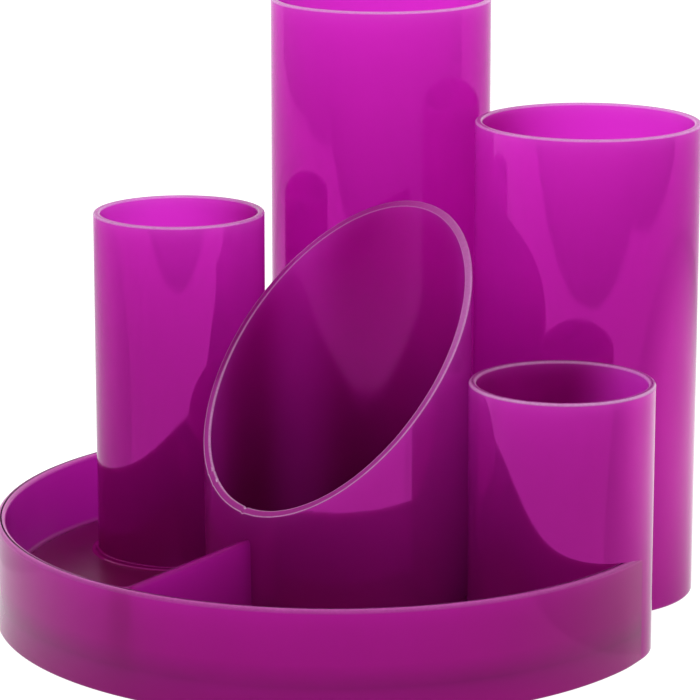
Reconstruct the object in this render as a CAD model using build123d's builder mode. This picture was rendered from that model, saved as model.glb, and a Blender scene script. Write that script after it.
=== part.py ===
"""Desk tidy: a round moulded tray with five open tubes bonded into it.

Millimetres, +Z up, -Y is the front. The origin lies on the desk, under the middle of the tidy's box.
"""
import os
from math import acos, atan2, cos, degrees, hypot, radians, sin, sqrt, tan

from build123d import *

# Tubes, cut from round stock
slant_radius = 27.1  # centre tube, with its mouth cut on the slant
wide_radius = 23.3  # tall tube and right tube
short_radius = 18.5
left_radius = 17.9
tube_wall = 1.5
rim_break = 0.5  # rounding of a tube's upper edges
saw_break = 0.25  # the same on the slanted cut
foot_break = 0.7  # rounding at the foot of a tube that stands on the desk

# Heights above the desk
tall_top = 122.0
right_top = 99.7
left_top = 79.8
short_top = 54.7
slant_middle = 56.6  # height of the slanted cut on the tube's axis
slant_angle = 45.7
slant_azimuth = 51.5  # the cut rises towards the right and the back

# Tray
tray_radius = 70.0  # outside, on the desk
tray_height = 21.6
tray_wall = 2.0
outside_draft = 0.85  # degrees, wider at the foot
inside_draft = 0.5  # degrees, wider at the rim
skirt_height = 5.0  # hollow under the floor
floor_thickness = 2.0
floor_round = 1.0  # between floor and wall
rim_round = 0.45  # rounding of a moulded top edge, as a share of its thickness
skirt_break = 0.4
divider_thickness = 2.0
divider_drop = 0.3  # at the wall the divider ends this far below the rim
divider_rise = 2.4  # and climbs by this much towards the slanted tube
foot_bead = 1.3  # height of the hollow fillet round a tube that stands on the floor
bead_hollow = 2.0  # radius of its hollow
bead_lip = 0.2  # thickness of its upper edge

# Plan: the slanted tube is placed in the tray, and the others against it
slant_x = 0.5
slant_y = -9.1
tall_azimuth = 79.7  # these two as seen from the slanted tube's axis
divider_azimuth = 228.5
contact_gap = 0.32  # between tubes that lie against each other
left_gap = 5.1  # left tube to tall tube
right_gap = 2.2  # right tube to tall tube
inner_gap = 7.375  # right tube to slanted tube
short_gap = 1.532  # short tube to slanted tube, which leaves it just inside the tray's outline
bond_line = 0.22  # between a tube and what it is bonded to
edge_least = 0.8  # thinnest edge left where a tube cuts the tray's wall
wall_end_azimuth = -18.0  # end of the wall at the short tube, as seen from that tube
corner_depth = 5.0  # the floor stops this far inside the touch of short tube and right tube


def along(start, distance, azimuth):
    return (
        start[0] + distance * cos(radians(azimuth)),
        start[1] + distance * sin(radians(azimuth)),
    )


def azimuth_to(start, end):
    return degrees(atan2(end[1] - start[1], end[0] - start[0]))


def meeting(first, first_reach, second, second_reach):
    """Point at a given reach from each of two points, right of the line from first to second."""
    span = hypot(second[0] - first[0], second[1] - first[1])
    ahead = (first_reach**2 - second_reach**2 + span**2) / (2 * span)
    aside = sqrt(first_reach**2 - ahead**2)
    heading = azimuth_to(first, second)
    return along(along(first, ahead, heading), aside, heading - 90)


# Tube axes, with the tray's centre at zero
slant_plan = (slant_x, slant_y)
tall_plan = along(slant_plan, slant_radius + contact_gap + wide_radius, tall_azimuth)
left_plan = meeting(
    tall_plan,
    wide_radius + left_gap + left_radius,
    slant_plan,
    slant_radius + contact_gap + left_radius,
)
right_plan = meeting(
    slant_plan,
    slant_radius + inner_gap + wide_radius,
    tall_plan,
    wide_radius + right_gap + wide_radius,
)
short_plan = meeting(
    slant_plan,
    slant_radius + short_gap + short_radius,
    right_plan,
    wide_radius + contact_gap + short_radius,
)

# The same axes with the middle of the whole box at zero
tray_axis = (
    (tray_radius - right_plan[0] - wide_radius) / 2,
    (tray_radius - max(tray_radius, tall_plan[1] + wide_radius)) / 2,
)
slant_axis, tall_axis, short_axis, left_axis, right_axis = [
    (tray_axis[0] + x, tray_axis[1] + y)
    for x, y in (slant_plan, tall_plan, short_plan, left_plan, right_plan)
]

# Levels and radii that follow
floor_top = skirt_height + floor_thickness
divider_top = tray_height - divider_drop
outside_lean = tan(radians(outside_draft))
rim_radius = tray_radius - tray_height * outside_lean
inside_radius = rim_radius - tray_wall
floor_radius = inside_radius - (tray_height - floor_top) * tan(radians(inside_draft))
skirt_radius = tray_radius - tray_wall
far = 2 * tray_radius  # past everything

# Tubes that reach the desk through the tray's edge, and tubes that stand on its floor
desk_tubes = [
    ("right_tube", right_axis, wide_radius, right_top),
    ("short_tube", short_axis, short_radius, short_top),
]
floor_tubes = [
    ("left_tube", left_axis, left_radius, left_top),
    ("tall_tube", tall_axis, wide_radius, tall_top),
]


def reach_to_circle(start, azimuth, radius):
    """Distance from a point inside a circle about zero to that circle, along an azimuth."""
    outward = along((0, 0), 1, azimuth)
    ahead = start[0] * outward[0] + start[1] * outward[1]
    return sqrt(ahead**2 - start[0] ** 2 - start[1] ** 2 + radius**2) - ahead


def radial_plane(axis, azimuth):
    """Plane through a vertical axis, its x outwards along an azimuth and its y up."""
    outward = along((0, 0), 1, azimuth)
    return Plane(
        origin=(axis[0], axis[1], 0),
        x_dir=(outward[0], outward[1], 0),
        z_dir=(outward[1], -outward[0], 0),
    )


os.makedirs("parts", exist_ok=True)

# Divider, from the slanted tube to the middle of the tray's wall, with a rounded top that climbs inwards
divider_end = reach_to_circle(slant_plan, divider_azimuth, inside_radius + tray_wall / 2)
with BuildPart() as divider:
    with BuildSketch(radial_plane(slant_axis, divider_azimuth)):
        with BuildLine():
            Polyline(
                (slant_radius, skirt_height),
                (divider_end, skirt_height),
                (divider_end, divider_top),
                (slant_radius, divider_top + divider_rise),
                close=True,
            )
        make_face()
    extrude(amount=divider_thickness / 2, both=True)
    top_edges = divider.faces().sort_by(Axis.Z)[-1].edges().sort_by(SortBy.LENGTH)
    fillet(top_edges[-2:], rim_round * divider_thickness)

# Moulded tray with its floor, wall, skirt and divider
touch_azimuth = azimuth_to(short_axis, right_axis)
touch = along(short_axis, short_radius + contact_gap / 2, touch_azimuth)
corner = along(touch, corner_depth, touch_azimuth + 90)

with BuildPart() as base_tray:
    with BuildSketch(radial_plane(tray_axis, 0)) as tray_section:
        with BuildLine():
            Polyline(
                (0, skirt_height),
                (skirt_radius - skirt_height * outside_lean, skirt_height),
                (skirt_radius, 0),
                (tray_radius, 0),
                (rim_radius, tray_height),
                (inside_radius, tray_height),
                (floor_radius, floor_top),
                (0, floor_top),
                close=True,
            )
        make_face()
        fillet(tray_section.vertices().group_by(Axis.Y)[2].sort_by(Axis.X)[-1], floor_round)
        fillet(tray_section.vertices().group_by(Axis.Y)[-1], rim_round * tray_wall)
        fillet(tray_section.vertices().group_by(Axis.Y)[0], skirt_break)
    revolve(axis=Axis((tray_axis[0], tray_axis[1], 0), (0, 0, 1)))

    add(divider.part)

    # Hollow fillets round the feet of the left tube and the slanted tube
    for axis, radius in ((left_axis, left_radius), (slant_axis, slant_radius)):
        inner = radius - bead_lip
        outer = radius + bond_line + bead_lip
        sunk = floor_top - floor_thickness / 2
        with BuildSketch(radial_plane(axis, 0)):
            with BuildLine():
                Polyline(
                    (outer, floor_top + foot_bead),
                    (inner, floor_top + foot_bead),
                    (inner, sunk),
                    (outer + foot_bead, sunk),
                    (outer + foot_bead, floor_top),
                )
                RadiusArc(
                    (outer + foot_bead, floor_top),
                    (outer, floor_top + foot_bead),
                    bead_hollow,
                )
            make_face()
        revolve(axis=Axis((axis[0], axis[1], 0), (0, 0, 1)))

    # Room for the tubes: down to the floor, or right through the tray's edge
    for label, axis, radius, top in [*floor_tubes, ("slant_tube", slant_axis, slant_radius, 0)]:
        with BuildSketch(Plane.XY.offset(floor_top)):
            with Locations(axis):
                Circle(radius + bond_line)
        extrude(amount=tray_height, mode=Mode.SUBTRACT)
    for label, axis, radius, top in desk_tubes:
        with BuildSketch(Plane.XY):
            with Locations(axis):
                Circle(radius + bond_line)
        extrude(amount=tray_height, mode=Mode.SUBTRACT)

    # The wall stops, square to its run, where a tube would leave it too thin
    for label, axis, radius, top in desk_tubes:
        out = hypot(axis[0] - tray_axis[0], axis[1] - tray_axis[1])
        limit = tray_radius - edge_least
        bore = radius + bond_line
        if out + bore > limit:
            heading = azimuth_to(tray_axis, axis)
            half = degrees(acos((out**2 + limit**2 - bore**2) / (2 * out * limit)))
            with BuildSketch(Plane.XY):
                with BuildLine():
                    Polyline(
                        along(tray_axis, out, heading - half),
                        along(tray_axis, far, heading - half),
                        along(tray_axis, far, heading + half),
                        along(tray_axis, out, heading + half),
                        close=True,
                    )
                make_face()
            extrude(amount=tray_height, mode=Mode.SUBTRACT)

    # Open corner between short tube and right tube
    with BuildSketch(Plane.XY):
        with BuildLine():
            Polyline(
                short_axis,
                along(short_axis, far, wall_end_azimuth),
                along(right_axis, far, azimuth_to(tray_axis, right_axis)),
                right_axis,
                corner,
                close=True,
            )
        make_face()
    extrude(amount=tray_height, mode=Mode.SUBTRACT)
base_tray.part.label = "base_tray"
export_step(base_tray.part, "parts/base_tray.step")

# Tubes that stand on the desk, each with a floor disc bonded in level with the tray's floor
for label, axis, radius, top in desk_tubes:
    with BuildPart() as tube:
        with BuildSketch(Plane.XY):
            with Locations(axis):
                Circle(radius)
                Circle(radius - tube_wall, mode=Mode.SUBTRACT)
        extrude(amount=top)
        fillet(tube.edges().group_by(Axis.Z)[-1], rim_break)
        fillet(tube.edges().group_by(Axis.Z)[0].sort_by(SortBy.RADIUS)[-1], foot_break)
    tube.part.label = label
    export_step(tube.part, f"parts/{label}.step")

    with BuildPart() as disc:
        with BuildSketch(Plane.XY.offset(skirt_height)):
            with Locations(axis):
                Circle(radius - tube_wall - bond_line)
        extrude(amount=floor_thickness)
    disc.part.label = label + "_floor"
    export_step(disc.part, f"parts/{label}_floor.step")

# Left tube and tall tube, on the tray's floor
for label, axis, radius, top in floor_tubes:
    with BuildPart() as tube:
        with BuildSketch(Plane.XY.offset(floor_top)):
            with Locations(axis):
                Circle(radius)
                Circle(radius - tube_wall, mode=Mode.SUBTRACT)
        extrude(amount=top - floor_top)
        fillet(tube.edges().group_by(Axis.Z)[-1], rim_break)
    tube.part.label = label
    export_step(tube.part, f"parts/{label}.step")

# Centre tube, on the tray's floor, with its mouth cut on the slant
rise = tan(radians(slant_angle))
uphill = along((0, 0), rise, slant_azimuth)
with BuildPart() as slant_tube:
    with BuildSketch(Plane.XY.offset(floor_top)):
        with Locations(slant_axis):
            Circle(slant_radius)
            Circle(slant_radius - tube_wall, mode=Mode.SUBTRACT)
    extrude(amount=slant_middle + 2 * rise * slant_radius)
    split(
        bisect_by=Plane(
            origin=(slant_axis[0], slant_axis[1], slant_middle),
            z_dir=(-uphill[0], -uphill[1], 1),
        ),
        keep=Keep.BOTTOM,
    )
    fillet(slant_tube.edges().filter_by(GeomType.ELLIPSE), saw_break)
slant_tube.part.label = "slant_tube"
export_step(slant_tube.part, "parts/slant_tube.step")
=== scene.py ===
import math
import bmesh
import bpy
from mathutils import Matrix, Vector, noise


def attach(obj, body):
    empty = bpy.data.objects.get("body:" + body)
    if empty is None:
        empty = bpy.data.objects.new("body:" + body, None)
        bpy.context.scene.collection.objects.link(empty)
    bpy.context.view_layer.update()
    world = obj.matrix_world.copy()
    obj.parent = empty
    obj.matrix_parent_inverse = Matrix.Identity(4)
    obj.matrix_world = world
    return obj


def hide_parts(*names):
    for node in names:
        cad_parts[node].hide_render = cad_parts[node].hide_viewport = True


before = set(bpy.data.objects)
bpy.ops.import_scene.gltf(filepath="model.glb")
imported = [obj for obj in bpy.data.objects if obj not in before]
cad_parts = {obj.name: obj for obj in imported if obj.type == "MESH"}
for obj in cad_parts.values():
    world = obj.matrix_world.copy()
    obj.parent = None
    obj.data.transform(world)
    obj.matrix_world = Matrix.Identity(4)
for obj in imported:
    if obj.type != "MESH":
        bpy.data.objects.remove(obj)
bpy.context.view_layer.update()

mm = 0.001  # pieces are drawn in millimetres and stored in metres
turn = 2 * math.pi

# where the tubes and the tray stand on the desk
axisOf = {
    "tray": Vector((-2.702, 0.0)),
    "slant": Vector((-2.202, -9.1)),
    "tall": Vector((6.867, 40.803)),
    "left": Vector((-35.354, 21.8)),
    "right": Vector((49.402, 16.881)),
    "short": Vector((42.296, -24.635)),
}
tubeWall = 1.5
footBreak = 0.15  # broken edge at the foot of a tube's wall
floorTop = 7.0
floorUnder = 5.0
weldReach = 4e-7  # points closer than this, in metres, become one


def softened(corners, steps, closed=True, hold=0.3):
    # outline with every corner rounded to its own radius, and a holding point on both sides of each arc
    outline = []
    for i, (x, y, radius) in enumerate(corners):
        here = Vector((x, y))
        if radius <= 0 or (not closed and i in (0, len(corners) - 1)):
            outline.append(here)
            continue
        back = (Vector(corners[i - 1][:2]) - here).normalized()
        ahead = (Vector(corners[(i + 1) % len(corners)][:2]) - here).normalized()
        half = back.angle(ahead) / 2
        reach = radius / math.tan(half)
        centre = here + (back + ahead).normalized() * (radius / math.sin(half))
        first, last = here + back * reach - centre, here + ahead * reach - centre
        sweep = math.pi - 2 * half
        outline.append(here + back * (reach + hold * radius))
        for k in range(steps + 1):
            t = k / steps
            blend = (math.sin((1 - t) * sweep) * first + math.sin(t * sweep) * last) / math.sin(sweep)
            outline.append(centre + blend)
        outline.append(here + ahead * (reach + hold * radius))
    return outline


def cornerSize(steps):
    return steps + 3  # points that a rounded corner gets: the arc and its two holding points


def ringNoise(angle, scale, seed):
    return noise.noise(Vector((math.cos(angle) * scale, math.sin(angle) * scale, seed)))


def stand(name, data):
    thing = bpy.data.objects.new(name, data)
    bpy.context.scene.collection.objects.link(thing)
    return thing


def makePiece(name, points, faces, flatFaces=(), masks=None):
    mesh = bpy.data.meshes.new(name)
    mesh.from_pydata([Vector(p) * mm for p in points], [], faces)
    for label, values in (masks or {}).items():
        mask = mesh.attributes.new(label, "FLOAT", "POINT")
        mask.data.foreach_set("value", values)
    work = bmesh.new()
    work.from_mesh(mesh)
    work.faces.ensure_lookup_table()
    for face in work.faces:
        face.smooth = True
    for i in flatFaces:
        work.faces[i].smooth = False
    bmesh.ops.remove_doubles(work, verts=work.verts, dist=weldReach)
    loose = [edge for edge in work.edges if not edge.link_faces]
    bmesh.ops.delete(work, geom=loose, context="EDGES")
    bmesh.ops.recalc_face_normals(work, faces=work.faces)
    openEdges = sum(1 for edge in work.edges if len(edge.link_faces) != 2)
    work.to_mesh(mesh)
    work.free()
    print("made", name, len(mesh.vertices), "points, open edges", openEdges)
    return stand(name, mesh)


def lathed(axis, outlineAt, sides):
    # closed outline carried round an upright axis; outlineAt gives it for each angle
    points, faces = [], []
    for j in range(sides):
        angle = turn * j / sides
        outline = outlineAt(angle)
        points += [(axis.x + r * math.cos(angle), axis.y + r * math.sin(angle), z) for r, z in outline]
    size = len(points) // sides
    for j in range(sides):
        here, there = j * size, (j + 1) % sides * size
        for k in range(size):
            n = (k + 1) % size
            faces.append((here + k, there + k, there + n, here + n))
    return points, faces


def wallMasks(count, steps, flatHighlight, sides):
    # cutEdge: the two rounded upper corners of a wall's outline, and a little of the flat between them, which
    # are painted paler as a rim highlight
    # bore: the inner side
    corner, halfway = cornerSize(steps), steps // 2
    edge = [0.0] * count
    for first in (corner, 2 * corner):
        for k in range(steps + 1):
            edge[first + 1 + k] = math.sin(math.pi * k / steps)
    for k in range(corner + 1 + halfway, 2 * corner + 1 + halfway):
        edge[k] = max(edge[k], flatHighlight)
    bore = [1.0 if k > 2 * corner + halfway else 0.0 for k in range(count)]
    return {"cutEdge": edge * sides, "bore": bore * sides}


def dress(piece, material, node):
    piece.data.materials.append(material)
    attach(piece, "root")
    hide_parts(node)


# plastics; a cloud has a scale, a detail and, for the grain, a roughness
plasticSkin = {
    "flow": (38, 3), "grain": (1700, 4, 0.6), "smear": (240, 4), "swell": (45, 2), "pores": (2600, 2),
    "swellDepth": 0.002, "poreDepth": 0.0002, "coatIor": 1.2, "coatRough": 0.05, "wallIor": 2.1,
    "paintedUpperShare": 0.9, "rimHighlightLeast": 0.55, "floorShadeLeast": 0.6,
}
trayLook = {
    "name": "trayPlastic", "colour": (0.25, 0.006, 0.11), "deep": (0.22, 0.005, 0.095),
    "upper": (0.25, 0.006, 0.11), "inside": (0.15, 0.004, 0.05), "edge": (0.62, 0.15, 0.47),
    "through": (0.97, 0.14, 0.88), "throughDeep": (0.94, 0.12, 0.84), "rimHighlightThrough": (1.0, 0.25, 0.92),
    "clear": (0.28, 0.41), "boreClear": (0.24, 0.48), "shadeHeights": (0.0, 0.0216),
    "gloss": (0.050, 0.085), "boreGloss": 0.32, "edgeRough": 0.22, "mirror": 0.8, "boreMirror": 0.15,
    "reflection": (1.0, 0.03, 0.66), "edgeShine": (1.0, 0.45, 0.88), "ior": 2.0, "coat": 0.35,
    "swell": 0.03, "pores": 0.012,
    "floorShade": {"height": 0.0062, "reach": 0.0045, "strength": 0.65,
              "colour": (0.06, 0.002, 0.028), "shine": (0.46, 0.02, 0.30)},
}
tubeLook = {
    "name": "tubePlastic", "colour": (0.23, 0.006, 0.10), "deep": (0.20, 0.005, 0.085),
    "upper": (0.14, 0.005, 0.072), "inside": (0.19, 0.006, 0.085), "edge": (1.0, 0.74, 0.96),
    "through": (0.98, 0.19, 0.91), "throughDeep": (0.96, 0.17, 0.89), "rimHighlightThrough": (1.0, 0.84, 1.0),
    "clear": (0.26, 0.67), "boreClear": (0.17, 0.82), "shadeHeights": (0.010, 0.072),
    "gloss": (0.030, 0.060), "boreGloss": 0.17, "edgeRough": 0.16, "mirror": 1.0, "boreMirror": 0.7,
    "reflection": (1.0, 0.03, 0.72), "edgeShine": (1.0, 0.74, 1.0), "ior": 2.2, "coat": 0.6,
    "swell": 0.02, "pores": 0.008,
}


def makePlastic(look):
    material = bpy.data.materials.new(look["name"])
    material.use_nodes = True
    nodes, links = material.node_tree.nodes, material.node_tree.links
    shader = nodes["Principled BSDF"]

    def add(kind, **values):
        node = nodes.new(kind)
        for key, value in values.items():
            setattr(node, key, value)
        return node

    def feed(socket, value):
        if isinstance(value, bpy.types.NodeSocket):
            links.new(value, socket)
        elif isinstance(value, tuple):
            socket.default_value = (*value, 1)
        else:
            socket.default_value = value

    def cloud(scale, detail, rough=0.5):
        node = add("ShaderNodeTexNoise")
        for key, value in (("Scale", scale), ("Detail", detail), ("Roughness", rough)):
            feed(node.inputs[key], value)
        links.new(place.outputs["Object"], node.inputs["Vector"])
        return node.outputs["Fac"]

    def span(source, low, high, fromLow=0.3, fromHigh=0.7):
        node = add("ShaderNodeMapRange")
        links.new(source, node.inputs["Value"])
        for key, value in (("From Min", fromLow), ("From Max", fromHigh), ("To Min", low), ("To Max", high)):
            feed(node.inputs[key], value)
        return node.outputs["Result"]

    def mixed(factor, a, b):  # two colours
        node = add("ShaderNodeMix", data_type="RGBA")
        for key, value in (("Factor", factor), (6, a), (7, b)):
            feed(node.inputs[key], value)
        return node.outputs[2]

    def blended(factor, a, b):  # two numbers
        node = add("ShaderNodeMix", data_type="FLOAT")
        for key, value in (("Factor", factor), (2, a), (3, b)):
            feed(node.inputs[key], value)
        return node.outputs[0]

    def combined(operation, *values):
        node = add("ShaderNodeMath", operation=operation)
        for socket, value in zip(node.inputs, values):
            feed(socket, value)
        return node.outputs[0]

    def masked(label):
        return add("ShaderNodeAttribute", attribute_name=label).outputs["Fac"]

    def bumped(strength, depth, source):
        node = add("ShaderNodeBump")
        for key, value in (("Strength", strength), ("Distance", depth), ("Height", source)):
            feed(node.inputs[key], value)
        return node

    place = add("ShaderNodeTexCoord")
    edge, bore = masked("cutEdge"), masked("bore")
    flow = cloud(*plasticSkin["flow"])  # pigment that flowed a little unevenly
    split = add("ShaderNodeSeparateXYZ")
    links.new(place.outputs["Object"], split.inputs[0])
    height = split.outputs["Z"]

    # pigment, and how much light the wall lets through; painted shade by height: less light comes through
    # towards the bottom, and the upper pigment differs from the lower
    colour = mixed(span(flow, 0, 1), look["deep"], look["colour"])
    colour = mixed(span(height, 0, plasticSkin["paintedUpperShare"], *look["shadeHeights"]), colour, look["upper"])
    # painted light and shade: the inside colour is darker in the tray's hollow and on the divider, and
    # lighter inside the tubes than their upper outside
    colour = mixed(bore, colour, look["inside"])
    shadedThrough = span(height, *look["clear"], *look["shadeHeights"])
    shadedThrough = blended(bore, shadedThrough, span(height, *look["boreClear"], *look["shadeHeights"]))
    shine = look["reflection"]
    floorShade = look.get("floorShade")
    if floorShade:  # painted shade: a dark band on the outer wall at floor height, where the floor stops the light behind the wall; it darkens the colour, the reflection tint and the light let through
        away = combined("ABSOLUTE", combined("SUBTRACT", height, floorShade["height"]))
        floorShadeBand = span(away, floorShade["strength"], 0, 0, floorShade["reach"])
        floorShadeBand = combined("MULTIPLY", floorShadeBand, span(flow, plasticSkin["floorShadeLeast"], 1))
        floorShadeBand = combined("MULTIPLY", floorShadeBand, masked("skin"))
        colour = mixed(floorShadeBand, colour, floorShade["colour"])
        shine = mixed(floorShadeBand, shine, floorShade["shine"])
        shadedThrough = combined("MULTIPLY", shadedThrough, span(floorShadeBand, 1, 0, 0, 1))
    # painted highlight: the rim corners are painted pale, broken up by grain, with a whiter reflection tint
    paintedRimHighlight = combined("MULTIPLY", edge, span(cloud(*plasticSkin["grain"]), plasticSkin["rimHighlightLeast"], 1))

    # gloss: satin inside the tubes and on cut edges
    rough = span(cloud(*plasticSkin["smear"]), *look["gloss"])
    rough = blended(bore, rough, look["boreGloss"])
    rough = blended(edge, rough, look["edgeRough"])
    # slow waviness of the wall, and the fine skin of the moulding on it
    swell = bumped(look["swell"], plasticSkin["swellDepth"], cloud(*plasticSkin["swell"]))
    pores = bumped(look["pores"], plasticSkin["poreDepth"], cloud(*plasticSkin["pores"]))
    links.new(swell.outputs["Normal"], pores.inputs["Normal"])
    for key, value in (
        ("Base Color", mixed(paintedRimHighlight, colour, look["edge"])),
        ("Roughness", rough),
        ("IOR", look["ior"]),
        ("Normal", pores.outputs["Normal"]),
        ("Specular IOR Level", span(bore, look["mirror"], look["mirror"] * look["boreMirror"], 0, 1)),
        ("Specular Tint", mixed(paintedRimHighlight, shine, look["edgeShine"])),
        ("Coat Weight", look["coat"]),  # clear skin, pale where it is seen from the side
        ("Coat IOR", plasticSkin["coatIor"]),
        ("Coat Roughness", plasticSkin["coatRough"]),
    ):
        feed(shader.inputs[key], value)

    # light that comes through the wall; it is tinted once on the way in and once on the way out
    through = add("ShaderNodeBsdfTranslucent")
    tint = mixed(span(flow, 0, 1), look["throughDeep"], look["through"])
    # paler light through the rim corners is part of the painted rim highlight
    feed(through.inputs["Color"], mixed(edge, tint, look["rimHighlightThrough"]))
    glance = add("ShaderNodeFresnel")
    feed(glance.inputs["IOR"], plasticSkin["wallIor"])
    kept = combined("MULTIPLY", shadedThrough, span(glance.outputs[0], 1, 0, 0, 1))
    share = combined("MAXIMUM", kept, add("ShaderNodeNewGeometry").outputs["Backfacing"])
    wall = add("ShaderNodeMixShader")
    for socket, source in zip(wall.inputs, (share, shader.outputs[0], through.outputs[0])):
        links.new(source, socket)
    links.new(wall.outputs[0], nodes["Material Output"].inputs["Surface"])
    return material


trayPlastic = makePlastic(trayLook)
tubePlastic = makePlastic(tubeLook)
print("plastics mixed")

# straight tubes, sawn square and broken at the edges
straightTubes = {
    "tall": {"radius": 23.3, "low": 6.8, "top": 122.0, "rim": 0.5, "foot": 0.15, "sides": 256, "flatHighlight": 0.22},
    "right": {"radius": 23.3, "low": 0.0, "top": 99.7, "rim": 0.5, "foot": 0.7, "sides": 256, "flatHighlight": 0.22},
    "left": {"radius": 17.9, "low": 6.8, "top": 79.8, "rim": 0.5, "foot": 0.15, "sides": 224, "flatHighlight": 0.22},
    "short": {"radius": 18.5, "low": 0.0, "top": 54.7, "rim": 0.6, "foot": 0.45, "sides": 224, "flatHighlight": 0.2},
}
straightSteps = 7  # facets in each rounded corner


def makeStraightTube(label, tube):
    inner = tube["radius"] - tubeWall
    outline = softened([
        (tube["radius"], tube["low"], tube["foot"]),
        (tube["radius"], tube["top"], tube["rim"]),
        (inner, tube["top"], tube["rim"]),
        (inner, tube["low"], footBreak),
    ], straightSteps)
    masks = wallMasks(len(outline), straightSteps, tube["flatHighlight"], tube["sides"])
    points, faces = lathed(axisOf[label], lambda angle: outline, tube["sides"])
    piece = makePiece(label + "_tube_wall", points, faces, masks=masks)
    dress(piece, tubePlastic, label + "_tube")


for label, tube in straightTubes.items():
    makeStraightTube(label, tube)
print("straight tubes sawn")

# centre tube, its mouth sawn on the slant and left with small nicks (bearing in degrees, depth)
slantTube = {
    "radius": 27.1, "low": 6.8, "middle": 56.6, "angle": 45.7, "azimuth": 51.5, "sides": 480, "steps": 5,
    "sawBreak": 0.42, "flatHighlight": 0.05, "sawMark": 0.03, "sawGrain": 24, "outerSeed": 1.0, "innerSeed": 3.0,
    "rightHighlight": 0.6, "rightHighlightAt": 5.0, "rightHighlightFocus": 3,
    "nicks": ((196.5, 0.4), (203.0, 0.25), (226.0, 0.35)), "nickReach": 1.0, "nickShows": 0.05,
}


def makeSlantTube(tube):
    inner = tube["radius"] - tubeWall
    rise = math.tan(math.radians(tube["angle"]))
    uphill = math.radians(tube["azimuth"])

    def chipped(angle):
        # depth of the small chips on the low side of the mouth
        turned = math.degrees(angle)
        return sum(depth * max(0.0, 1 - abs(turned - at) / tube["nickReach"]) for at, depth in tube["nicks"])

    def nick(angle, seed):
        return tube["sawMark"] * ringNoise(angle, tube["sawGrain"], seed) + chipped(angle)

    def outlineAt(angle):
        lift = rise * math.cos(angle - uphill)
        outerTop = tube["middle"] + tube["radius"] * lift - nick(angle, tube["outerSeed"])
        innerTop = tube["middle"] + inner * lift - nick(angle, tube["innerSeed"])
        return softened([
            (tube["radius"], tube["low"], footBreak),
            (tube["radius"], outerTop, tube["sawBreak"]),
            (inner, innerTop, tube["sawBreak"]),
            (inner, tube["low"], footBreak),
        ], tube["steps"])

    points, faces = lathed(axisOf["slant"], outlineAt, tube["sides"])
    size = len(points) // tube["sides"]
    masks = wallMasks(size, tube["steps"], tube["flatHighlight"], tube["sides"])
    edge = masks["cutEdge"]
    corner, halfway = cornerSize(tube["steps"]), tube["steps"] // 2
    flatPart = range(corner + 1 + halfway, 2 * corner + 2 + halfway)
    innerBreak = range(2 * corner + 1, 3 * corner)
    for j in range(tube["sides"]):
        angle = turn * j / tube["sides"]
        facing = max(0.0, math.cos(angle - math.radians(tube["rightHighlightAt"])))
        for k in flatPart:  # painted highlight: on the right side the rim's flat is painted paler, and made rougher
            edge[j * size + k] = max(edge[j * size + k], tube["rightHighlight"] * facing ** tube["rightHighlightFocus"])
        if chipped(angle) > tube["nickShows"]:  # fresh plastic shows in the chips
            for k in innerBreak:
                edge[j * size + k] = 1.0
    piece = makePiece("slant_tube_wall", points, faces, masks=masks)
    dress(piece, tubePlastic, "slant_tube")


makeSlantTube(slantTube)
print("slanted tube sawn")

# discs that close the two tubes that stand on the desk, with a little cement drawn up at the edge
tubeFloors = {"right": {"radius": 22.0, "sides": 128}, "short": {"radius": 17.2, "sides": 112}}
cement = {
    "high": 0.7, "mean": 0.8, "swing": 0.3, "waves": 4, "seed": 2.0, "behind": 0.2, "spread": 1.4,
    "neckIn": 0.35, "neckUp": 0.3, "lipRound": 0.05, "neckRound": 0.25, "toeRound": 0.3, "steps": 3,
}


def makeTubeFloor(label, disc):
    bore = disc["radius"] - cement["behind"]

    def outlineAt(angle):
        wave = ringNoise(angle, cement["waves"], cement["seed"])
        drawn = cement["high"] * (cement["mean"] + cement["swing"] * wave)
        return softened([
            (0.0, floorUnder, 0),
            (disc["radius"], floorUnder, 0),
            (disc["radius"], floorTop + drawn, 0),
            (bore, floorTop + drawn, cement["lipRound"]),
            (bore - drawn * cement["neckIn"], floorTop + drawn * cement["neckUp"], cement["neckRound"]),
            (bore - drawn * cement["spread"], floorTop, cement["toeRound"]),
            (0.0, floorTop, 0),
        ], cement["steps"])

    points, faces = lathed(axisOf[label], outlineAt, disc["sides"])
    piece = makePiece(label + "_tube_disc", points, faces)
    dress(piece, tubePlastic, label + "_tube_floor")


for label, disc in tubeFloors.items():
    makeTubeFloor(label, disc)
print("tube floors cemented")

# moulded tray: floor, wall with a rounded rim, skirt; the wall runs out on the short tube
trayShell = {
    "foot": 70.0, "height": 21.6, "wall": 2.0, "outsideDraft": 0.85, "insideDraft": 0.5, "steps": 9,
    "floorRound": 1.0, "rimRound": 0.9, "skirtBreak": 0.4, "skirtTaper": 0.07, "underRound": 0.5,
    "floorEdge": 66.3, "columns": 420, "sunk": 0.7, "contact": 0.32, "cornerDepth": 5.0, "skinInset": 4,
    "tailColumns": 72, "tailEnd": -25.9, "tailBlend": 7.0, "tailInset": 0.05, "tailSink": 0.8,
    "tailSpread": 0.01, "shortSteps": 60, "rightSteps": 72,
}


def trayProfile(tray):
    rim = tray["foot"] - tray["height"] * math.tan(math.radians(tray["outsideDraft"]))
    inside = rim - tray["wall"]
    insideFoot = inside - (tray["height"] - floorTop) * math.tan(math.radians(tray["insideDraft"]))
    skirt = tray["foot"] - tray["wall"]
    return softened([
        (tray["floorEdge"], floorTop, 0),
        (insideFoot, floorTop, tray["floorRound"]),
        (inside, tray["height"], tray["rimRound"]),
        (rim, tray["height"], tray["rimRound"]),
        (tray["foot"], 0, tray["skirtBreak"]),
        (skirt, 0, tray["skirtBreak"]),
        (skirt - tray["skirtTaper"], floorUnder, tray["underRound"]),
        (tray["floorEdge"], floorUnder, 0),
    ], tray["steps"], closed=False)


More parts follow.
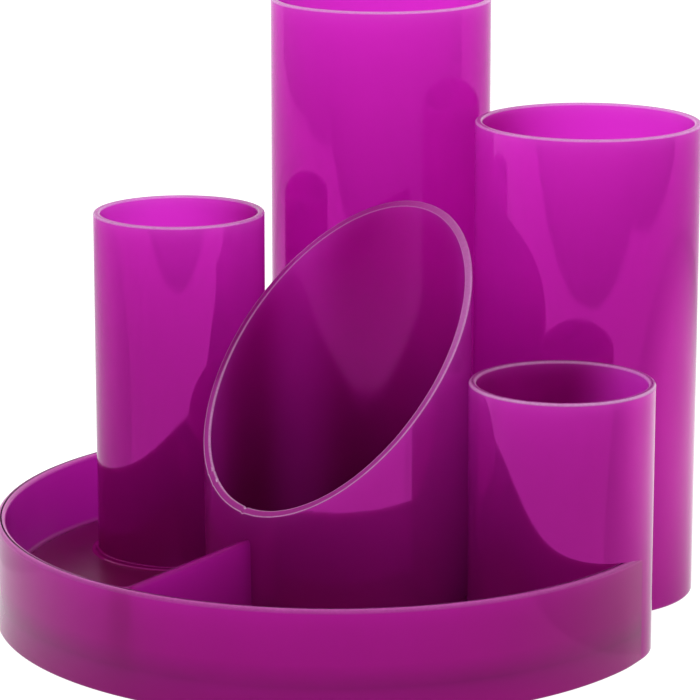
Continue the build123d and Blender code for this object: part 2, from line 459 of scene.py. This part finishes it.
def trayMasks(tray, size, rings, pairs):
    # along the profile: the rim painted pale as a highlight, the satin inside that carries painted shade, the
    # outer skin; then the point pairs of the floor's edge
    steps = tray["steps"]
    corner = cornerSize(steps)
    innerTop, outerTop, outerFoot = (1 + n * corner for n in (1, 2, 3))
    rimHighlightLine = [0.0] * size
    for k in range(steps + 1):
        rimHighlightLine[innerTop + 1 + k] = math.sqrt(k / steps)
        rimHighlightLine[outerTop + 1 + k] = math.sqrt(1 - k / steps)
    rimHighlightLine[outerTop - 1] = rimHighlightLine[outerTop] = 1.0
    inner = [1.0 if k < innerTop + steps // 2 else 0.0 for k in range(size)]
    skinFrom, skinTo = outerTop + tray["skinInset"], outerFoot + tray["skinInset"]
    outer = [1.0 if skinFrom <= k <= skinTo else 0.0 for k in range(size)]
    return {
        "cutEdge": rimHighlightLine * rings + [0.0, 0.0] * pairs,
        "bore": inner * rings + [1.0, 0.0] * pairs,
        "skin": outer * rings + [0.0, 0.0] * pairs,
    }


def headingOf(span):
    return math.atan2(span.y, span.x)


def crossing(span, r, bore):
    # angle between a tube's heading and the place where the tray's circle of radius r meets the bore
    out = span.length
    return math.acos((r * r + out * out - bore * bore) / (2 * r * out))


def arc(axis, bore, fromPoint, toPoint, steps):
    # clockwise round a tube
    begin = headingOf(fromPoint - axis)
    sweep = (begin - headingOf(toPoint - axis)) % turn
    angles = [begin - sweep * i / steps for i in range(steps + 1)]
    return [axis + bore * Vector((math.cos(angle), math.sin(angle))) for angle in angles]


def makeTrayShell(tray):
    centre = axisOf["tray"]
    rightSpan, shortSpan = axisOf["right"] - centre, axisOf["short"] - centre
    rightHeading, shortHeading = headingOf(rightSpan), headingOf(shortSpan)
    shortRadius = straightTubes["short"]["radius"]
    shortBore = shortRadius - tray["sunk"]
    rightBore = straightTubes["right"]["radius"] - tray["sunk"]
    tailStart = turn + shortHeading - crossing(shortSpan, tray["floorEdge"], shortBore)
    tailStop = turn + math.radians(tray["tailEnd"])
    draft = math.tan(math.radians(tray["outsideDraft"]))
    profile = trayProfile(tray)
    size = len(profile)
    points, faces = [], []

    def addPoint(r, angle, z):
        points.append((centre.x + r * math.cos(angle), centre.y + r * math.sin(angle), z))

    for j in range(tray["columns"] + 1):  # from the right tube round the back, left and front
        for r, z in profile:
            start = rightHeading + crossing(rightSpan, r, rightBore)
            addPoint(r, start + (tailStart - start) * j / tray["columns"], z)
    for j in range(1, tray["tailColumns"] + 1):  # along the short tube, where only the outer skin is left
        angle = tailStart + (tailStop - tailStart) * j / tray["tailColumns"]
        off = angle - turn - shortHeading
        ahead, aside = shortSpan.length * math.cos(off), shortSpan.length * math.sin(off)
        far = ahead + math.sqrt(shortBore**2 - aside**2)
        face = shortSpan.length + shortRadius - tray["tailInset"]
        if off > 0:  # past the tangency it follows the tube's face and sinks into it
            past = off / (math.radians(tray["tailEnd"]) - shortHeading)
            sink = tray["sunk"] * tray["tailSink"] * past * past
            face = ahead + math.sqrt(shortRadius**2 - aside**2) - tray["tailInset"] - sink
        near = min(max(1 + off / math.radians(tray["tailBlend"]), 0.0), 1.0)
        near = near * near * (3 - 2 * near)
        for r, z in profile:
            r -= (tray["foot"] - z * draft - face) * near
            apart = tray["tailSpread"] * (min(far, r) - tray["floorEdge"])  # sunk points don't fall together
            addPoint(max(far, r) + apart, angle, z)

    last = tray["columns"] + tray["tailColumns"]
    for j in range(last):
        for k in range(size - 1):
            a = j * size + k
            faces.append((a, a + 1, a + size + 1, a + size))
        if j >= tray["columns"]:
            faces.append((j * size, (j + 1) * size, (j + 1) * size + size - 1, j * size + size - 1))
    flat = [len(faces), len(faces) + 1]
    faces.append(tuple(range(size)))
    faces.append(tuple(last * size + k for k in range(size)))

    # edge of the floor along the short tube, the open corner and the right tube
    touchAngle = headingOf(axisOf["right"] - axisOf["short"])
    along = Vector((math.cos(touchAngle), math.sin(touchAngle)))
    across = Vector((-along.y, along.x))
    corner = axisOf["short"] + along * (shortRadius + tray["contact"] / 2) + across * tray["cornerDepth"]
    tailPoint = Vector(points[tray["columns"] * size][:2])
    startPoint = Vector(points[0][:2])
    border = arc(axisOf["short"], shortBore, tailPoint, corner, tray["shortSteps"])[1:]
    border += [corner]
    border += arc(axisOf["right"], rightBore, corner, startPoint, tray["rightSteps"])[:-1]
    masks = trayMasks(tray, size, len(points) // size, len(border))
    upper = [j * size for j in range(tray["columns"] + 1)]
    lower = [i + size - 1 for i in upper]
    for p in border:
        upper.append(len(points))
        lower.append(len(points) + 1)
        points += [(p.x, p.y, floorTop), (p.x, p.y, floorUnder)]
    for i in range(tray["columns"], len(upper)):
        n = (i + 1) % len(upper)
        flat.append(len(faces))
        faces.append((upper[i], upper[n], lower[n], lower[i]))
    flat += [len(faces), len(faces) + 1]
    faces.append(tuple(upper))
    faces.append(tuple(reversed(lower)))
    piece = makePiece("tray_shell", points, faces, flatFaces=flat, masks=masks)
    dress(piece, trayPlastic, "base_tray")


makeTrayShell(trayShell)

# divider from the slanted tube to the wall, flared where it meets floor and wall
divider = {
    "azimuth": 228.5, "thickness": 2.0, "foot": 0.35, "flange": 1.0, "sunk": 0.4, "bite": 0.7,
    "floorRound": 0.8, "wallRound": 1.6, "topRound": 0.95, "drop": 0.3, "climb": 2.4,
    "wallInside": 67.6, "wallMiddle": 68.5, "stations": 60, "crowding": 1.8, "steps": 6,
}


def makeDivider(rib):
    heading = math.radians(rib["azimuth"])
    along = Vector((math.cos(heading), math.sin(heading)))
    across = Vector((-along.y, along.x))
    offset = axisOf["slant"] - axisOf["tray"]
    ahead = offset.dot(along)

    def reach(radius):
        return math.sqrt(ahead**2 - offset.length_squared + radius**2) - ahead

    begin, face, end = slantTube["radius"] - rib["bite"], reach(rib["wallInside"]), reach(rib["wallMiddle"])
    under = floorTop - rib["sunk"]
    points, faces = [], []
    for j in range(rib["stations"] + 1):
        t = 1 - (1 - j / rib["stations"]) ** rib["crowding"]  # closer together towards the wall
        d = begin + (end - begin) * t
        near = min(max((d - face + rib["wallRound"]) / rib["wallRound"], 0.0), 1.0)
        half = rib["thickness"] / 2 + rib["wallRound"] * (1 - math.sqrt(1 - near * near))
        foot = half + rib["foot"]
        edge = foot + rib["flange"]
        top = trayShell["height"] - rib["drop"] + rib["climb"] * (end - d) / (end - begin)
        outline = softened([
            (-edge, under, 0), (edge, under, 0), (edge, floorTop, 0), (foot, floorTop, rib["floorRound"]),
            (half, top, rib["topRound"]), (-half, top, rib["topRound"]),
            (-foot, floorTop, rib["floorRound"]), (-edge, floorTop, 0),
        ], rib["steps"])
        spot = axisOf["slant"] + along * d
        points += [(spot.x + across.x * u, spot.y + across.y * u, z) for u, z in outline]
    size = len(points) // (rib["stations"] + 1)
    for j in range(rib["stations"]):
        for k in range(size):
            n = (k + 1) % size
            faces.append((j * size + k, j * size + n, (j + 1) * size + n, (j + 1) * size + k))
    flat = [len(faces), len(faces) + 1]
    faces.append(tuple(range(size)))
    faces.append(tuple(rib["stations"] * size + k for k in range(size)))
    # the divider is all inside: it takes the darker inside colour, which is painted shade, and the satin of
    # the inside
    piece = makePiece("tray_divider", points, faces, flatFaces=flat, masks={"bore": [1.0] * len(points)})
    dress(piece, trayPlastic, "base_tray")


makeDivider(divider)

# hollow fillets round the feet of the two inner tubes
footBeads = {
    "left": {"radius": straightTubes["left"]["radius"], "sides": 200},
    "slant": {"radius": slantTube["radius"], "sides": 260},
}
beadShape = {
    "height": 0.9, "lip": 0.42, "wobble": 0.12, "waves": 3, "bite": 0.5, "sunk": 0.4, "hollow": 0.12,
    "toeRound": 0.05, "lipRound": 0.18, "steps": 6,
}


def makeFootBead(label, bead):
    inside, wide = bead["radius"] - beadShape["bite"], bead["radius"] + beadShape["lip"]
    under, hollow = floorTop - beadShape["sunk"], beadShape["hollow"]

    def outlineAt(angle):
        wobble = ringNoise(angle, beadShape["waves"], bead["radius"])
        high = beadShape["height"] * (1 + beadShape["wobble"] * wobble)
        return softened([
            (inside, under, 0), (wide + high, under, 0), (wide + high, floorTop, beadShape["toeRound"]),
            (wide + hollow, floorTop + hollow, high / 2), (wide, floorTop + high, beadShape["lipRound"]),
            (inside, floorTop + high, 0),
        ], beadShape["steps"])

    points, faces = lathed(axisOf[label], outlineAt, bead["sides"])
    piece = makePiece(label + "_foot_bead", points, faces)
    dress(piece, trayPlastic, "base_tray")


for label, bead in footBeads.items():
    makeFootBead(label, bead)
print("tray moulded")

# white table and backdrop
studio = {
    "tableSide": 3.0, "tableDrop": 1e-4, "tableWhite": 0.96, "tableShade": 0.25, "tableBounce": 0.45,
    "skyFront": 0.12, "skyBack": 1.42, "skyTop": 0.35, "skyFrom": (0.35, 0.94, 0.0),
    "skyTurn": (-0.6, 0.5), "skyRise": (0.3, 1.0),
}


def blankMaterial(name):
    material = bpy.data.materials.new(name)
    material.use_nodes = True
    tree = material.node_tree
    tree.nodes.clear()
    return material, tree, tree.nodes.new("ShaderNodeOutputMaterial").inputs["Surface"]


def ramped(tree, source, fromRange, toRange, smooth=True):
    node = tree.nodes.new("ShaderNodeMapRange")
    if smooth:
        node.interpolation_type = "SMOOTHSTEP"
    tree.links.new(source, node.inputs["Value"])
    node.inputs["From Min"].default_value, node.inputs["From Max"].default_value = fromRange
    node.inputs["To Min"].default_value, node.inputs["To Max"].default_value = toRange
    return node.outputs["Result"]


def seenWhite(tree):
    # 1 for what the eye, mirrors and clear glass see; light that soaks through a wall is left out
    path = tree.nodes.new("ShaderNodeLightPath")

    def joined(operation, a, b):
        node = tree.nodes.new("ShaderNodeMath")
        node.operation = operation
        node.use_clamp = True
        tree.links.new(a, node.inputs[0])
        tree.links.new(b, node.inputs[1])
        return node.outputs[0]

    glass = joined("SUBTRACT", path.outputs["Is Transmission Ray"], path.outputs["Is Diffuse Ray"])
    mirror = joined("ADD", path.outputs["Is Glossy Ray"], glass)
    return joined("ADD", path.outputs["Is Camera Ray"], mirror)


def makeTable():
    side, low = studio["tableSide"] / 2, -studio["tableDrop"]
    mesh = bpy.data.meshes.new("table")
    corners = [(x * side, y * side, low) for x, y in ((-1, -1), (1, -1), (1, 1), (-1, 1))]
    mesh.from_pydata(corners, [], [(0, 1, 2, 3)])
    material, tree, surface = blankMaterial("whiteTable")

    def matt(level):
        node = tree.nodes.new("ShaderNodeBsdfDiffuse")
        node.inputs["Color"].default_value = (level, level, level, 1)
        return node.outputs[0]

    glow = tree.nodes.new("ShaderNodeEmission")
    glow.inputs["Strength"].default_value = studio["tableWhite"]
    white = tree.nodes.new("ShaderNodeAddShader")
    tree.links.new(matt(studio["tableShade"]), white.inputs[0])
    tree.links.new(glow.outputs[0], white.inputs[1])
    pick = tree.nodes.new("ShaderNodeMixShader")
    for socket, source in zip(pick.inputs, (seenWhite(tree), matt(studio["tableBounce"]), white.outputs[0])):
        tree.links.new(source, socket)
    tree.links.new(pick.outputs[0], surface)
    mesh.materials.append(material)
    stand("table", mesh)


def makeWorld():
    world = bpy.data.worlds.new("studio")
    bpy.context.scene.world = world
    world.use_nodes = True
    world.cycles.sampling_method = "NONE"  # a plain sky needs no search, and the rays' own kinds are kept
    tree = world.node_tree
    sky = tree.nodes["Background"]
    sky.inputs["Color"].default_value = (1, 1, 1, 1)
    place = tree.nodes.new("ShaderNodeTexCoord")

    def facing(towards):
        node = tree.nodes.new("ShaderNodeVectorMath")
        node.operation = "DOT_PRODUCT"
        tree.links.new(place.outputs["Generated"], node.inputs[0])
        node.inputs[1].default_value = towards
        return node.outputs["Value"]

    levels = studio["skyFront"], studio["skyBack"]
    around = ramped(tree, facing(studio["skyFrom"]), studio["skyTurn"], levels)
    above = ramped(tree, facing((0, 0, 1)), studio["skyRise"], (0.0, studio["skyTop"]))
    fill = tree.nodes.new("ShaderNodeMath")
    fill.operation = "ADD"
    tree.links.new(around, fill.inputs[0])
    tree.links.new(above, fill.inputs[1])
    level = tree.nodes.new("ShaderNodeMix")
    level.data_type = "FLOAT"
    tree.links.new(seenWhite(tree), level.inputs["Factor"])
    tree.links.new(fill.outputs[0], level.inputs[2])
    level.inputs[3].default_value = 1.0
    tree.links.new(level.outputs[0], sky.inputs["Strength"])


makeTable()
makeWorld()

# cards that only the reflections see
cards = {
    "roomCard": {"corners": [(-0.43, -0.30), (0.33, -0.30), (0.60, 0.05)], "level": (0.45, 0.85)},
    "leftCard": {"corners": [(-0.62, 0.42), (-0.60, 0.0), (-0.43, -0.30)], "level": (0.6, 0.8)},
}
cardHeight = 1.2
cardFade = 0.05  # height at which a card reaches its full level


def makeMirrorSheet(name, points, faces, strengthAt):
    mesh = bpy.data.meshes.new(name)
    mesh.from_pydata(points, [], faces)
    material, tree, surface = blankMaterial(name)
    glow = tree.nodes.new("ShaderNodeEmission")
    place = tree.nodes.new("ShaderNodeTexCoord")
    tree.links.new(strengthAt(tree, place.outputs["Object"]), glow.inputs["Strength"])
    tree.links.new(glow.outputs[0], surface)
    mesh.materials.append(material)
    sheet = stand(name, mesh)
    sheet.visible_camera = False
    sheet.visible_diffuse = False
    sheet.visible_shadow = False
    sheet.visible_transmission = False


def makeCard(name, card):
    points, faces = [], []
    for x, y in card["corners"]:
        points += [(x, y, 0.0), (x, y, cardHeight)]
    for i in range(len(card["corners"]) - 1):
        faces.append((2 * i, 2 * i + 2, 2 * i + 3, 2 * i + 1))

    def strengthAt(tree, spot):
        height = tree.nodes.new("ShaderNodeSeparateXYZ")
        tree.links.new(spot, height.inputs[0])
        return ramped(tree, height.outputs["Z"], (0.0, cardFade), card["level"], smooth=False)

    makeMirrorSheet(name, points, faces, strengthAt)


for name, card in cards.items():
    makeCard(name, card)

# stretches of table beside the tidy that the light makes brighter than plain white; only reflections see them
glares = {
    "rightGlare": {"middle": (0.24, 0.075), "reach": 0.21, "near": 0.06, "level": (2.0, 1.0)},
    "leftGlare": {"middle": (-0.27, 0.14), "reach": 0.21, "near": 0.06, "level": (1.4, 1.0)},
}
glareSides = 32
glareLift = 4e-4


def makeGlare(name, glare):
    x, y = glare["middle"]
    points = []
    for k in range(glareSides):
        angle = turn * k / glareSides
        points.append((x + glare["reach"] * math.cos(angle), y + glare["reach"] * math.sin(angle), glareLift))

    def strengthAt(tree, spot):
        away = tree.nodes.new("ShaderNodeVectorMath")
        away.operation = "DISTANCE"
        tree.links.new(spot, away.inputs[0])
        away.inputs[1].default_value = (x, y, 0)
        return ramped(tree, away.outputs["Value"], (glare["near"], glare["reach"]), glare["level"])

    makeMirrorSheet(name, points, [tuple(range(glareSides))], strengthAt)


for name, glare in glares.items():
    makeGlare(name, glare)

lamp = {"at": (0.0, 0.05, 0.95), "aim": (0.0, 0.0, 0.05), "side": 0.9, "power": 0.3}
light = bpy.data.lights.new("overhead", "AREA")
light.shape = "RECTANGLE"
light.size = light.size_y = lamp["side"]
light.energy = lamp["power"]
lampRig = stand("overhead", light)
lampRig.location = lamp["at"]
lampRig.rotation_euler = (Vector(lamp["aim"]) - Vector(lamp["at"])).to_track_quat("-Z", "Y").to_euler()
lampRig.visible_glossy = False
lampRig.visible_camera = False
print("studio lit")

camera = {
    "at": (0.000708, -0.71095, 0.22413), "tilt": 0.2333, "swing": 0.0005,
    "lens": 184.1, "sensor": 36, "near": 0.01,
}
eye = bpy.data.cameras.new("eye")
eye.lens = camera["lens"]
eye.sensor_width = camera["sensor"]
eye.clip_start = camera["near"]
eyeRig = stand("eye", eye)
eyeRig.location = camera["at"]
eyeRig.rotation_euler = (math.pi / 2 - camera["tilt"], 0, camera["swing"])
bpy.context.scene.camera = eyeRig
bpy.context.scene.view_settings.view_transform = "Standard"
